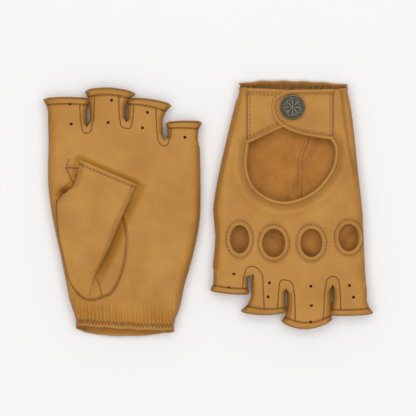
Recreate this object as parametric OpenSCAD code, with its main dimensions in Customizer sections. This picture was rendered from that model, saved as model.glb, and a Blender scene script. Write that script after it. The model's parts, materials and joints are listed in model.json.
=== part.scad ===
// A pair of fingerless driving gloves lying flat side by side.
// The left glove lies palm up with its fingers towards +Y. The right glove is the same glove
// turned through its own centre: back up, with its fingers towards -Y.
// Every module below draws the left glove about its own centre: +X is the little-finger side,
// +Y points to the fingertips, z = 0 is the back of the hand and z = glove_height is the palm.

/* [Glove] */
// Length from the cuff edge to the tip of the middle finger
glove_length = 175; // [166:1:215]
// Thickness of the glove as it lies
glove_height = 18; // [17:0.5:23]
// Thickness of the leather
leather = 1; // [0.8:0.1:1.2]
// Width of the glove across the cuff
cuff_width = 73; // [70:1:88]
// Length from the cuff edge to where the palm is widest
heel_length = 93; // [80:1:105]
// Distance between the centre lines of the two gloves
pair_spacing = 118; // [118:1:200]

/* [Fingers] */
// Width of the index finger where it leaves the palm
index_width = 25.4; // [24:0.2:31]
// Width of the middle finger where it leaves the palm
middle_width = 29.7; // [26:0.2:36]
// Width of the ring finger where it leaves the palm
ring_width = 23.8; // [22:0.2:29]
// Width of the little finger where it leaves the palm
little_width = 26.3; // [24:0.2:32]
// Length of the middle finger from the crease to the rim
middle_length = 30; // [25:1:36]
// Width of the slit between two fingers at the crease
slit = 1.2; // [1:0.1:2]
// Depth of the bound rim of each finger
rim_depth = 3; // [2:0.5:4]
// How far the rim flares past the finger on each side
rim_flare = 1.6; // [1:0.1:2]
// Diameter of the vent holes
vent_d = 1.7; // [1.4:0.1:2.2]

/* [Thumb] */
// Length of the thumb from its lowest seam to the middle of its rim
thumb_length = 88; // [73:1:90]
// Width of the thumb at its rim
thumb_width = 42; // [35:1:46]
// Thickness of the folded thumb
thumb_height = 8; // [6:0.5:9]
// Lean of the thumb towards the fingers
thumb_lean = 9.5; // [8:0.5:11]
// Clearance round the folded thumb
thumb_gap = 1.8; // [1.6:0.1:2.2]

/* [Back of the hand] */
// Width of the round opening
opening_width = 64; // [56:1:66]
// Height of the round opening above its widest line
opening_rise = 33; // [28:1:36]
// Length from the cuff edge to the widest line of the opening
opening_place = 49.5; // [46:0.5:54]
// Width of the rolled edge of the opening and of the tabs
binding = 2.6; // [2:0.1:3]
// Width of a knuckle hole
knuckle_width = 14.8; // [12:0.2:16]
// Length of a knuckle hole
knuckle_length = 19.6; // [16:0.2:22]
// Width of the facing ring round a knuckle hole
knuckle_ring = 2.8; // [2:0.1:3]

/* [Cuff and wrist tabs] */
// Depth of the elastic cuff hem
cuff_depth = 9.5; // [8:0.5:12]
// How far the palm stops short of the cuff edge of the back
cuff_step = 4.5; // [3:0.5:6]
// Thickness of the elastic inside the hem
elastic = 0.9; // [0.6:0.1:1.2]
// Distance from the cuff edge to the centre of the snap
snap_place = 15; // [14:0.5:17]
// Radius of the round end of the strap
strap_end_r = 12.2; // [11:0.1:13]
// Diameter of the snap cap
snap_d = 17.2; // [14:0.1:20.8]
// Height of the snap cap
snap_height = 2.8; // [2.2:0.1:3.4]
// Height of the socket between the two tabs
socket_height = 2.2; // [2:0.1:2.8]
// Diameter of the head of the stud
stud_d = 5.2; // [4:0.1:6]
// Running clearance of the stud in the socket and of the posts in their holes
snap_gap = 0.4; // [0.35:0.05:0.5]

/* [Hidden] */
fingers = ["index", "middle", "ring", "little"];
pieces = [
    "palm_panel", "back_panel", "opening_binding", "knuckle_bindings", "crotch_fourchettes",
    "cuff_hem", "cuff_elastic", "thumb_stall", "thumb_hem",
    "strap", "strap_binding", "under_tab", "under_tab_binding",
    "snap_cap", "snap_socket", "snap_stud", "snap_post"
];

tan_leather = "#bb8844";
edge_leather = "#c69650";
suede = "#a8703a";
gunmetal = "#5a605f";
round_fn = 48;
e = 0.01;

// Clearance between pieces that turn against each other
fold_gap = 0.5;

// Lines along the glove
cuff_y = -glove_length / 2;
palm_cuff_y = cuff_y + cuff_step;
hem_top_y = palm_cuff_y + cuff_depth;
widest_y = cuff_y + heel_length;
crease_y = glove_length / 2 - middle_length;

// Fingers in the order index, middle, ring, little
widths = [index_width, middle_width, ring_width, little_width];
crease_drop = [3.2, 0, 0, 11.2];
tip_drop = [9.8, 0, 9.7, 25.9];
lean = [-2, 1.5, 4, 4];
rim_extra = [4.6, 1, 2.2, -3.6];
knuckle_drop = [39, 35.4, 35.2, 38];
knuckle_shift = [-1, -2.4, -2.8, -4];
vent_steps = [[6], [5, 17], [9], [5.5]];
palm_width = index_width + middle_width + ring_width + little_width;

function sum_to(i) = i == 0 ? 0 : widths[i - 1] + sum_to(i - 1);
function lane(i) = sum_to(i) - palm_width / 2;
function lane_centre(i) = (lane(i) + lane(i + 1)) / 2;
function root_y(i) = crease_y - crease_drop[i];
function tip_y(i) = glove_length / 2 - tip_drop[i];

// Half the width of the hand at a height y, widening smoothly from the cuff to the palm
function smooth(t) = let (u = min(max(t, 0), 1)) u * u * (3 - 2 * u);
function half_width(y) =
    (cuff_width + (palm_width - cuff_width) * smooth((y - cuff_y) / (widest_y - cuff_y))) / 2;

// Points down one side of the hand from y0 to y1, moved inwards by inset
side_steps = 14;
function side(sign, y0, y1, inset = 0) = [
    for (i = [0:side_steps])
        let (y = y0 + (y1 - y0) * i / side_steps)
        [sign * (half_width(y) - inset), y]
];

// A closed outline grown outwards by d, its corners mitred; the outline runs anticlockwise
function unit(v) = v / norm(v);
function right_of(v) = [v[1], -v[0]];
function grown(points, d) = [
    for (i = [0:len(points) - 1])
        let (
            a = points[(i + len(points) - 1) % len(points)],
            b = points[i],
            c = points[(i + 1) % len(points)],
            n1 = right_of(unit(b - a)),
            n2 = right_of(unit(c - b))
        )
        b + d * (n1 + n2) / (1 + n1 * n2)
];

// An ellipse arc between two angles
function ellipse_arc(centre, rx, ry, from, to, steps) = [
    for (i = [0:steps])
        let (a = from + (to - from) * i / steps)
        centre + [rx * cos(a), ry * sin(a)]
];

// ---- Hand ----

// Outline of the hand between y0 and the finger creases, with a step at each slit
function hand_outline(y0) = concat(
    side(1, y0, root_y(3)),
    [
        [lane(3) - slit / 2, root_y(3)],
        [lane(3) - slit / 2, root_y(2)],
        [lane(1) + slit / 2, root_y(1)],
        [lane(1) + slit / 2, root_y(0)]
    ],
    side(-1, root_y(0), y0)
);

// Side wall of the hand as a strip one leather thick
module side_strip(sign, y0, y1) {
    points = concat(side(sign, y0, y1), side(sign, y1, y0, leather));
    polygon(points);
}

module side_walls(y0, z0, z1) {
    translate([0, 0, z0])
        linear_extrude(z1 - z0) {
            side_strip(1, y0, root_y(3));
            side_strip(-1, y0, root_y(0));
        }
}

module palm_panel() {
    color(tan_leather)
    union() {
        difference() {
            translate([0, 0, glove_height - leather])
                linear_extrude(leather)
                    polygon(hand_outline(hem_top_y));
            translate([0, 0, glove_height - leather - 1])
                linear_extrude(leather + 2)
                    polygon(grown(thumb_plan(0), thumb_gap));
        }
        side_walls(hem_top_y, glove_height / 2, glove_height - leather + e);
    }
}

opening_centre = [0, cuff_y + opening_place];
tab_top_y = opening_centre[1] - 10;
opening_drop = asin((opening_centre[1] - tab_top_y) / (opening_rise + binding));
strap_seam_x = -opening_width / 2 + 3;
under_seam_x = opening_width / 2 - 1.5;

// Edge of the round opening, moved outwards by d, from its right end over the top to its left end
function opening_edge(d) = ellipse_arc(
    opening_centre, opening_width / 2 + d, opening_rise + d, -opening_drop, 180 + opening_drop, 40
);

function knuckle_centre(i) = [lane_centre(i) + knuckle_shift[i], crease_y - knuckle_drop[i]];

// A knuckle hole's outline moved outwards by d
module knuckle_oval(i, d) {
    centre = knuckle_centre(i);
    polygon(ellipse_arc(centre, knuckle_width / 2 + d, knuckle_length / 2 + d, 0, 351, 39));
}

module back_panel() {
    color(tan_leather)
    union() {
        difference() {
            linear_extrude(leather)
                polygon(hand_outline(cuff_y));
            translate([0, 0, -1])
                linear_extrude(leather + 2)
                    polygon(opening_edge(binding));
            translate([strap_seam_x - fold_gap, cuff_y - 1, -1])
                cube([
                    under_seam_x - strap_seam_x + 2 * fold_gap,
                    tab_top_y - cuff_y + 2,
                    leather + 2
                ]);
            for (i = [0:3])
                translate([0, 0, -1])
                    linear_extrude(leather + 2)
                        knuckle_oval(i, knuckle_ring);
        }
        side_walls(cuff_y, leather - e, glove_height / 2);
    }
}

// Rolled edge round the upper part of the opening, a little thicker than the leather
roll = 0.6;

module opening_binding() {
    outer = opening_edge(binding);
    inner = opening_edge(0);
    color(edge_leather)
        linear_extrude(leather + roll)
            polygon(concat(outer, [for (i = [len(inner) - 1:-1:0]) inner[i]]));
}

module knuckle_bindings() {
    color(edge_leather)
    for (i = [0:3])
        linear_extrude(leather + roll)
            difference() {
                knuckle_oval(i, knuckle_ring);
                knuckle_oval(i, 0);
            }
}

// The parts of the three gussets that close the hand at the foot of each slit
crotch_w = 3.6;

module crotch_wall(x0, x1, y0, y1) {
    translate([x0, y0, leather])
        cube([x1 - x0, y1 - y0, glove_height - 2 * leather]);
}

module crotch_fourchettes() {
    color(edge_leather) {
        crotch_wall(lane(1) - crotch_w / 2, lane(1) + slit / 2, root_y(0) - leather, root_y(0));
        crotch_wall(lane(1) + slit / 2, lane(1) + slit / 2 + leather, root_y(0) - leather, root_y(1));
        crotch_wall(lane(2) - crotch_w / 2, lane(2) + crotch_w / 2, root_y(1) - leather, root_y(1));
        crotch_wall(lane(3) - slit / 2 - leather, lane(3) - slit / 2, root_y(3) - leather, root_y(2));
        crotch_wall(lane(3) - slit / 2, lane(3) + crotch_w / 2, root_y(3) - leather, root_y(3));
    }
}

module cuff_hem() {
    color(tan_leather)
    union() {
        translate([0, 0, glove_height - leather])
            linear_extrude(leather)
                polygon(concat(side(1, palm_cuff_y, hem_top_y), side(-1, hem_top_y, palm_cuff_y)));
        translate([0, 0, glove_height / 2])
            linear_extrude(glove_height / 2 - leather + e)
                for (sign = [-1, 1])
                    side_strip(sign, palm_cuff_y, hem_top_y);
    }
}

module cuff_elastic() {
    margin = 1.5;
    half = cuff_width / 2 - leather - 0.5;
    color(suede)
        translate([-half, palm_cuff_y + margin, glove_height - leather - elastic])
            cube([2 * half, cuff_depth - 2 * margin, elastic]);
}

// ---- Fingers ----

// Left or right edge of finger i at its crease, at the foot of its rim and at its tip
function root_edge(i, sign) =
    (i == 0 && sign < 0) || (i == 3 && sign > 0)
        ? lane(i + (sign > 0 ? 1 : 0))
        : lane(i + (sign > 0 ? 1 : 0)) - sign * slit / 2;
function rim_edge(i, sign) = lane_centre(i) + lean[i] + sign * (widths[i] + rim_extra[i]) / 2;
function stall_edge(i, sign) = rim_edge(i, sign) - sign * rim_flare;

// Edge of finger i at a height y between its crease and the foot of its rim
function edge_at(i, sign, y) =
    let (t = (y - root_y(i)) / (tip_y(i) - rim_depth - root_y(i)))
    root_edge(i, sign) + (stall_edge(i, sign) - root_edge(i, sign)) * t;

// Plan of finger i from the crease to the foot of its rim
module stall_plan(i) {
    y0 = root_y(i) + fold_gap;
    y1 = tip_y(i) - rim_depth;
    polygon([
        [edge_at(i, -1, y0), y0],
        [edge_at(i, 1, y0), y0],
        [edge_at(i, 1, y1), y1],
        [edge_at(i, -1, y1), y1]
    ]);
}

// Strip along one edge of finger i, one leather thick
module edge_strip(i, sign) {
    y0 = root_y(i) + fold_gap;
    y1 = tip_y(i) - rim_depth;
    polygon([
        [edge_at(i, sign, y0), y0],
        [edge_at(i, sign, y1), y1],
        [edge_at(i, sign, y1) - sign * leather, y1],
        [edge_at(i, sign, y0) - sign * leather, y0]
    ]);
}

module finger_stall(i) {
    color(tan_leather)
    union() {
        difference() {
            for (z = [0, glove_height - leather])
                translate([0, 0, z])
                    linear_extrude(leather)
                        stall_plan(i);
            for (step = vent_steps[i])
                translate([lane_centre(i) + lean[i] * step / middle_length, root_y(i) + step, -1])
                    cylinder(h = glove_height + 2, d = vent_d, $fn = round_fn);
        }
        // The outer side of the index and little fingers is a fold of the same leather
        if (i == 0 || i == 3)
            translate([0, 0, leather - e])
                linear_extrude(glove_height - 2 * leather + 2 * e)
                    edge_strip(i, i == 0 ? -1 : 1);
    }
}

module finger_fourchette(i) {
    color(edge_leather)
    for (sign = [-1, 1])
        if (!(i == 0 && sign < 0) && !(i == 3 && sign > 0))
            translate([0, 0, leather])
                linear_extrude(glove_height - 2 * leather)
                    edge_strip(i, sign);
}

// Bound rim of finger i: a flared band all the way round
module finger_hem(i) {
    y0 = tip_y(i) - rim_depth;
    y1 = tip_y(i);
    wall = leather + 0.5;
    color(edge_leather)
    difference() {
        linear_extrude(glove_height)
            polygon([
                [stall_edge(i, -1), y0],
                [stall_edge(i, 1), y0],
                [rim_edge(i, 1), y1],
                [rim_edge(i, -1), y1]
            ]);
        translate([0, 0, wall])
            linear_extrude(glove_height - 2 * wall)
                polygon([
                    [stall_edge(i, -1) + wall - rim_flare / rim_depth, y0 - 1],
                    [stall_edge(i, 1) - wall + rim_flare / rim_depth, y0 - 1],
                    [rim_edge(i, 1) - wall + rim_flare / rim_depth, y1 + 1],
                    [rim_edge(i, -1) + wall - rim_flare / rim_depth, y1 + 1]
                ]);
    }
}

// ---- Thumb ----

// The folded thumb's outline, as shares of its width and length, from its lowest seam
thumb_base = [-25.2, cuff_y + 27.5];
thumb_side = [
    [0.37, 0.70], [0.23, 0.42], [0.08, 0.17], [0, 0], [-0.12, 0], [-0.24, 0.05], [-0.36, 0.13],
    [-0.50, 0.29], [-0.62, 0.41], [-0.71, 0.59], [-0.76, 0.71], [-0.61, 0.79], [-0.50, 0.92]
];
thumb_tip = [[-0.50, 1.06], [0.50, 0.94]];

function on_thumb(p) =
    let (u = p[0] * thumb_width, v = p[1] * thumb_length)
    thumb_base + [
        u * cos(thumb_lean) + v * sin(thumb_lean),
        v * cos(thumb_lean) - u * sin(thumb_lean)
    ];

// The rim's two corners, moved back along the thumb's edges by the share trim of its length
function back_towards(p, q, trim) = p + trim * (q - p) / norm(q - p);
function thumb_rim(trim) = [
    back_towards(thumb_tip[0], thumb_side[len(thumb_side) - 1], trim),
    back_towards(thumb_tip[1], thumb_side[0], trim)
];

// Outline with the rim moved back; anticlockwise
function reversed(points) = [for (i = [len(points) - 1:-1:0]) points[i]];
function thumb_plan(trim) = reversed([for (p = concat(thumb_rim(trim), thumb_side)) on_thumb(p)]);
function thumb_hem_plan(trim) =
    [for (p = concat(reversed(thumb_rim(0)), thumb_rim(trim))) on_thumb(p)];

thumb_z = glove_height - thumb_height;
thumb_trim = rim_depth / thumb_length;

module thumb_stall() {
    inner = grown(thumb_plan(0), -leather);
    color(tan_leather)
    difference() {
        translate([0, 0, thumb_z])
            linear_extrude(thumb_height)
                polygon(thumb_plan(thumb_trim));
        translate([0, 0, thumb_z + leather])
            linear_extrude(thumb_height - 2 * leather)
                polygon(grown(thumb_mouth(0), -leather));
        // Under the heel of the thumb the leather is open to the hand
        translate([0, 0, thumb_z - 1])
            linear_extrude(leather + 2)
                intersection() {
                    polygon(inner);
                    polygon([for (p = [[-1, -0.1], [1, -0.1], [1, 0.4], [-1, 0.4]]) on_thumb(p)]);
                }
    }
}

// The thumb's plan with its rim pushed out past the tip, for hollowing it right through
function thumb_mouth(trim) = thumb_plan(trim - 0.2);

module thumb_hem() {
    color(edge_leather)
    difference() {
        translate([0, 0, thumb_z])
            linear_extrude(thumb_height)
                polygon(thumb_hem_plan(thumb_trim));
        translate([0, 0, thumb_z + leather])
            linear_extrude(thumb_height - 2 * leather)
                polygon(grown(thumb_mouth(0), -leather));
    }
}

// ---- Wrist tabs and snap ----

snap_centre = [0, cuff_y + snap_place];
strap_z = snap_height;
under_z = strap_z + leather + socket_height;
strap_root = [cuff_y + 3, tab_top_y - 2.7];
under_root = [cuff_y + 2, tab_top_y - 0.5];
under_end_r = strap_end_r - 1.2;

// Plans of the tabs with their free edges moved outwards by d; back is how far they reach past
// their seams
function strap_plan(d, back) = concat(
    [[strap_seam_x - back, strap_root[0] - d], [snap_centre[0], strap_root[0] - d]],
    ellipse_arc(snap_centre, strap_end_r + d, strap_end_r + d, -80, 40, 16),
    [
        snap_centre + [3.4, 14.6] + [0.3, 0.9] * d,
        snap_centre + [-9.5, 18.6] + [0.25, 0.95] * d,
        [strap_seam_x - back, strap_root[1] + d]
    ]
);
function under_plan(d, back) = concat(
    [[under_seam_x + back, under_root[1] + d], snap_centre + [8.5, 15] + [-0.4, 0.9] * d],
    ellipse_arc(snap_centre, under_end_r + d, under_end_r + d, 120, 262, 16),
    [[under_seam_x + back, under_root[0] - d]]
);

// Thickness profile of a tab across the hand: level with the back of the glove at its seam,
// then down a slope to the depth z round the snap. sign points from the seam to the free end.
module tab_profile(seam_x, sign, z, thick, reach) {
    flat = 2;
    foot = snap_centre[0] - sign * reach;
    translate([0, cuff_y - 5, 0])
        rotate([-90, 0, 0])
            mirror([0, 1, 0])
                linear_extrude(tab_top_y - cuff_y + 20)
                    polygon([
                        [seam_x, 0],
                        [seam_x + sign * flat, 0],
                        [foot, z],
                        [foot + sign * 60, z],
                        [foot + sign * 60, z + thick],
                        [foot, z + thick],
                        [seam_x + sign * flat, thick],
                        [seam_x, thick]
                    ]);
}

strap_reach = max(strap_end_r - 2.7, snap_d / 2 + 0.4);
under_reach = strap_end_r;
hole_d = stud_d - 1.4;

module snap_hole() {
    translate([snap_centre[0], snap_centre[1], -1])
        cylinder(h = glove_height, d = hole_d + 2 * snap_gap, $fn = round_fn);
}

module strap() {
    color(tan_leather)
    difference() {
        intersection() {
            tab_profile(strap_seam_x, 1, strap_z, leather, strap_reach);
            linear_extrude(glove_height)
                polygon(strap_plan(-binding, 5));
        }
        snap_hole();
    }
}

module strap_binding() {
    color(edge_leather)
    intersection() {
        tab_profile(strap_seam_x, 1, strap_z, leather + roll / 2, strap_reach);
        linear_extrude(glove_height)
            difference() {
                polygon(strap_plan(0, 5));
                polygon(strap_plan(-binding, 5));
            }
    }
}

module under_tab() {
    color(tan_leather)
    difference() {
        intersection() {
            tab_profile(under_seam_x, -1, under_z, leather, under_reach);
            linear_extrude(glove_height)
                polygon(under_plan(-binding, 5));
        }
        snap_hole();
    }
}

module under_tab_binding() {
    color(edge_leather)
    intersection() {
        tab_profile(under_seam_x, -1, under_z, leather + roll / 2, under_reach);
        linear_extrude(glove_height)
            difference() {
                polygon(under_plan(0, 5));
                polygon(under_plan(-binding, 5));
            }
    }
}

module at_snap(z) {
    translate([snap_centre[0], snap_centre[1], z])
        children();
}

// Domed cap with its rivet through the strap
module snap_cap() {
    rim = 0.8;
    color(gunmetal)
    at_snap(0)
        rotate_extrude($fn = round_fn)
            polygon([
                [0, 0],
                [snap_d / 4, 0.15],
                [snap_d / 2 - 1.2, 0.9],
                [snap_d / 2, snap_height - rim],
                [snap_d / 2, snap_height],
                [hole_d / 2, snap_height],
                [hole_d / 2, snap_height + leather + 0.5],
                [0, snap_height + leather + 0.5]
            ]);
}

// Ring on the inner face of the strap that grips the stud
socket_top = strap_z + leather;
socket_d = stud_d + 6.4;

module snap_socket() {
    color(gunmetal)
    at_snap(socket_top)
        difference() {
            cylinder(h = socket_height - 0.35, d = socket_d, $fn = round_fn);
            translate([0, 0, 0.55])
                cylinder(h = socket_height, d = stud_d + 2 * snap_gap, $fn = round_fn);
            translate([0, 0, -1])
                cylinder(h = 3, d = hole_d, $fn = round_fn);
        }
}

// Stud on the outer face of the under-tab, with its head inside the socket
module snap_stud() {
    neck_d = stud_d - 0.8;
    reach = socket_height - 0.55 - snap_gap;
    color(gunmetal)
    difference() {
        at_snap(under_z - reach) {
            cylinder(h = 0.7, d = stud_d, $fn = round_fn);
            translate([0, 0, 0.6])
                cylinder(h = reach - 0.6, d = neck_d, $fn = round_fn);
        }
        at_snap(under_z - 0.6)
            cylinder(h = 1, d = hole_d - 0.6, $fn = round_fn);
    }
}

// Eyelet post from the inside of the under-tab up into the stud
module snap_post() {
    flange_d = stud_d + 5.6;
    color(gunmetal)
    at_snap(under_z - 0.6) {
        cylinder(h = leather + 0.7, d = hole_d - 0.6, $fn = round_fn);
        translate([0, 0, leather + 0.6])
            cylinder(h = 0.6, d = flange_d, $fn = round_fn);
    }
}

// ---- Placing the pair ----

module left() {
    translate([-pair_spacing / 2, 0, 0])
        children();
}

module right() {
    translate([pair_spacing / 2, 0, glove_height])
        rotate([0, 0, 180])
            mirror([0, 0, 1])
                children();
}

left() palm_panel();  // left_palm_panel
left() back_panel();  // left_back_panel
left() opening_binding();  // left_opening_binding
left() knuckle_bindings();  // left_knuckle_bindings
left() crotch_fourchettes();  // left_crotch_fourchettes
left() cuff_hem();  // left_cuff_hem
left() cuff_elastic();  // left_cuff_elastic
left() thumb_stall();  // left_thumb_stall
left() thumb_hem();  // left_thumb_hem
left() strap();  // left_strap
left() strap_binding();  // left_strap_binding
left() under_tab();  // left_under_tab
left() under_tab_binding();  // left_under_tab_binding
left() snap_cap();  // left_snap_cap
left() snap_socket();  // left_snap_socket
left() snap_stud();  // left_snap_stud
left() snap_post();  // left_snap_post
left() finger_stall(0);  // left_index_stall
left() finger_hem(0);  // left_index_hem
left() finger_fourchette(0);  // left_index_fourchette
left() finger_stall(1);  // left_middle_stall
left() finger_hem(1);  // left_middle_hem
left() finger_fourchette(1);  // left_middle_fourchette
left() finger_stall(2);  // left_ring_stall
left() finger_hem(2);  // left_ring_hem
left() finger_fourchette(2);  // left_ring_fourchette
left() finger_stall(3);  // left_little_stall
left() finger_hem(3);  // left_little_hem
left() finger_fourchette(3);  // left_little_fourchette
right() palm_panel();  // right_palm_panel
right() back_panel();  // right_back_panel
right() opening_binding();  // right_opening_binding
right() knuckle_bindings();  // right_knuckle_bindings
right() crotch_fourchettes();  // right_crotch_fourchettes
right() cuff_hem();  // right_cuff_hem
right() cuff_elastic();  // right_cuff_elastic
right() thumb_stall();  // right_thumb_stall
right() thumb_hem();  // right_thumb_hem
right() strap();  // right_strap
right() strap_binding();  // right_strap_binding
right() under_tab();  // right_under_tab
right() under_tab_binding();  // right_under_tab_binding
right() snap_cap();  // right_snap_cap
right() snap_socket();  // right_snap_socket
right() snap_stud();  // right_snap_stud
right() snap_post();  // right_snap_post
right() finger_stall(0);  // right_index_stall
right() finger_hem(0);  // right_index_hem
right() finger_fourchette(0);  // right_index_fourchette
right() finger_stall(1);  // right_middle_stall
right() finger_hem(1);  // right_middle_hem
right() finger_fourchette(1);  // right_middle_fourchette
right() finger_stall(2);  // right_ring_stall
right() finger_hem(2);  // right_ring_hem
right() finger_fourchette(2);  // right_ring_fourchette
right() finger_stall(3);  // right_little_stall
right() finger_hem(3);  // right_little_hem
right() finger_fourchette(3);  // right_little_fourchette
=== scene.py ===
import json
import math
import bmesh
import bpy
import numpy as np
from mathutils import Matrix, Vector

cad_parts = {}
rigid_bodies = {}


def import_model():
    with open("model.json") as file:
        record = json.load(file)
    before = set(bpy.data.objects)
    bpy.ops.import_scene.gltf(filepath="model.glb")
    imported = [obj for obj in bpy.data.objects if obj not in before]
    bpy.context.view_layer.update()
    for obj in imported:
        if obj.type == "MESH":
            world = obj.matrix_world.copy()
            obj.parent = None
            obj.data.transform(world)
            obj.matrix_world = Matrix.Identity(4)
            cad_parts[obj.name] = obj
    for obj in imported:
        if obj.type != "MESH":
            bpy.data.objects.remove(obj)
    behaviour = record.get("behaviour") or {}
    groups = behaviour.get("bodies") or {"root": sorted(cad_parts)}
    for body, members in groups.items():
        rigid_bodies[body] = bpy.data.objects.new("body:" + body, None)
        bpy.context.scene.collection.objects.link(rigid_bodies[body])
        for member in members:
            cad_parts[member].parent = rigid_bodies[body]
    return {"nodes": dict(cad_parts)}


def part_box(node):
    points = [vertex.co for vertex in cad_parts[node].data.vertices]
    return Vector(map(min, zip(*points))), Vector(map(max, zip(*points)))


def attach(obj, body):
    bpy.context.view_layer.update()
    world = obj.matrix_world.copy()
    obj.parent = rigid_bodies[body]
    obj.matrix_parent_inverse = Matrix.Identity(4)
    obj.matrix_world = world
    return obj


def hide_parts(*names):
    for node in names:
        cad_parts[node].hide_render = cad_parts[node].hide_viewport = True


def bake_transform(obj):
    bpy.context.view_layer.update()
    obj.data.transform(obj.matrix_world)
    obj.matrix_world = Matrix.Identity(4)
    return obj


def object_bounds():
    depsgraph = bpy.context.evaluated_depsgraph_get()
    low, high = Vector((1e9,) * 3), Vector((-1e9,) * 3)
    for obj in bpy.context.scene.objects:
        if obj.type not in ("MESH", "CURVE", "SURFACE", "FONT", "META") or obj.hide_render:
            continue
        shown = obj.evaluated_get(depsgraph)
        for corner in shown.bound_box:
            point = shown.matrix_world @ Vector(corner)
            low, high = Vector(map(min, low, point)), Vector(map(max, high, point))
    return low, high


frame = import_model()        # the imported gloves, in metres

# A pair of tan driving gloves with open fingertips, lying flat: the left one palm up with its thumb
# folded over, the right one back up. Lengths are millimetres in each glove's own frame, x towards
# the little finger, y towards the fingertips, z from the back of the hand (0) to the palm.
# The right glove is the left one's frame reflected through a point between the two.

CAD_LOW, CAD_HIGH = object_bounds()
HEIGHT = 1000 * (CAD_HIGH[2] - CAD_LOW[2])
_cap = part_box("left_snap_cap")
PAIR = -500 * (_cap[0][0] + _cap[1][0])     # each glove's centre from the middle of the pair
CAP = np.array([0, 500 * (_cap[0][1] + _cap[1][1]), 1000 * _cap[0][2]])
CAP_R = 500 * (_cap[1][0] - _cap[0][0])
CAP_BASE = 1000 * _cap[1][2]

MID = HEIGHT / 2          # where palm and back meet at the sides
PALM_RISE = 7.7
BACK_DROP = 8.0
LEATHER = 1.0
THREAD = 0.26             # radius of the sewing thread
FINGER_HEM = 2.9          # from a finger's cut end to its stitches
THUMB_HEM = 2.2
THUMB_LONG = 92.0
THUMB_TOP = 17.75         # the folded thumb stays within the glove's height


# ---- finishes

def srgb(code):
    """A #rrggbb colour as linear red, green, blue and alpha."""
    parts = [int(code[i:i + 2], 16) / 255 for i in (1, 3, 5)]
    return [c / 12.92 if c <= 0.04045 else ((c + 0.055) / 1.055) ** 2.4 for c in parts] + [1]


def add(tree, kind, settings=(), links=()):
    """One shader node with its settings (properties or sockets) and its incoming links."""
    node = tree.nodes.new("ShaderNode" + kind)
    for key, value in dict(settings).items():
        if isinstance(key, str) and hasattr(node, key):
            setattr(node, key, value)
        else:
            node.inputs[key].default_value = value
    for key, source in dict(links).items():
        tree.links.new(source, node.inputs[key])
    return node


def finish_of(name, sockets):
    """A new material with its shader's plain sockets set: returns it, its tree, the shader and the
    place on the object."""
    made = bpy.data.materials.new(name)
    made.use_nodes = True
    tree = made.node_tree
    shader = tree.nodes["Principled BSDF"]
    for key, value in sockets.items():
        shader.inputs[key].default_value = value
    return made, tree, shader, add(tree, "TexCoord").outputs["Object"]


def noise(tree, place, scale, detail, **more):
    """Cloudy noise over the object, with this many cells to a metre."""
    return add(tree, "TexNoise", {"Scale": scale, "Detail": detail, **more}, {"Vector": place}).outputs[0]


def bumped(tree, shader, height, strength, depth, under=None):
    """The shader's normal bumped by a height, over an earlier bump if there is one."""
    links = {"Height": height} if under is None else {"Height": height, "Normal": under}
    normal = add(tree, "Bump", {"Strength": strength, "Distance": depth}, links).outputs[0]
    tree.links.new(normal, shader.inputs["Normal"])
    return normal


def ramp(tree, source, *stops):
    """A colour ramp on a value, with (place, #rrggbb) stops."""
    node = add(tree, "ValToRGB", links={0: source})
    marks = node.color_ramp.elements
    while len(marks) < len(stops):
        marks.new(0.5)
    for mark, (place, code) in zip(marks, stops):
        mark.position = place
        mark.color = srgb(code)
    return node.outputs[0]


def mixed(tree, share, first, second):
    """Two colours mixed by a share, each a socket or a plain value."""
    node = add(tree, "Mix", {"data_type": "RGBA"})
    for key, value in ((0, share), (6, first), (7, second)):
        if hasattr(value, "is_linked"):
            tree.links.new(value, node.inputs[key])
        else:
            node.inputs[key].default_value = value
    return node.outputs[2]


def wear_and_shade_share(tree):
    """How far a point is worn darker (or, on metal, rubbed bright), and on leather how much painted shade it
    carries, as made with the mesh.
    """
    return add(tree, "Attribute", {"attribute_name": "wear_and_shade"}).outputs["Fac"]


def hide_leather(name, light, mid, dark, wear_shade_colour, grain, rough):
    """Hairsheep nappa: aniline dyed, so its colour drifts over the skin and darkens where it is rubbed, with a
    fine pebble of pores about 0.8 mm apart. The same darkening also carries painted shade in folds, grooves and
    hollows, and painted shadow beside the thumb and the strap."""
    made, tree, shader, place = finish_of(name, {"Roughness": rough, "IOR": 1.45,
                                                 "Specular IOR Level": 0.36})
    drift = noise(tree, place, 42.0, 3.0, Roughness=0.55)
    skin = ramp(tree, drift, (0.30, dark), (0.5, mid), (0.72, light))
    fine = noise(tree, place, 620.0, 4.0, Roughness=0.65)
    skin = mixed(tree, 0.16, skin, ramp(tree, fine, (0.35, dark), (0.65, light)))
    # mixed towards the dark colour by the per-point share: partly wear, partly painted shade
    skin = mixed(tree, wear_and_shade_share(tree), skin, srgb(wear_shade_colour))
    tree.links.new(skin, shader.inputs["Base Color"])
    pores = add(tree, "TexVoronoi", {"Scale": 1250.0, "feature": "SMOOTH_F1", "Smoothness": 0.6},
                {"Vector": place})
    pebble = bumped(tree, shader, pores.outputs[0], grain, 0.0003)
    bumped(tree, shader, noise(tree, place, 300.0, 3.0), grain * 0.9, 0.0006, under=pebble)
    return made


def make_suede():
    """The flesh side of the skin: brushed, matt, deeper orange, with a soft nap under 1 mm long."""
    made, tree, shader, place = finish_of("suede_inside", {"Roughness": 0.95, "IOR": 1.4,
                                                           "Specular IOR Level": 0.12, "Sheen Weight": 0.25})
    cloud = noise(tree, place, 70.0, 5.0, Roughness=0.6)
    skin = ramp(tree, cloud, (0.28, "#a1662a"), (0.5, "#b37737"), (0.74, "#bf8440"))
    nap = noise(tree, place, 1500.0, 3.0)
    skin = mixed(tree, 0.25, skin, ramp(tree, nap, (0.35, "#96602a"), (0.7, "#cb9550")))
    tree.links.new(skin, shader.inputs["Base Color"])
    bumped(tree, shader, nap, 0.5, 0.0004)
    return made


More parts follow.
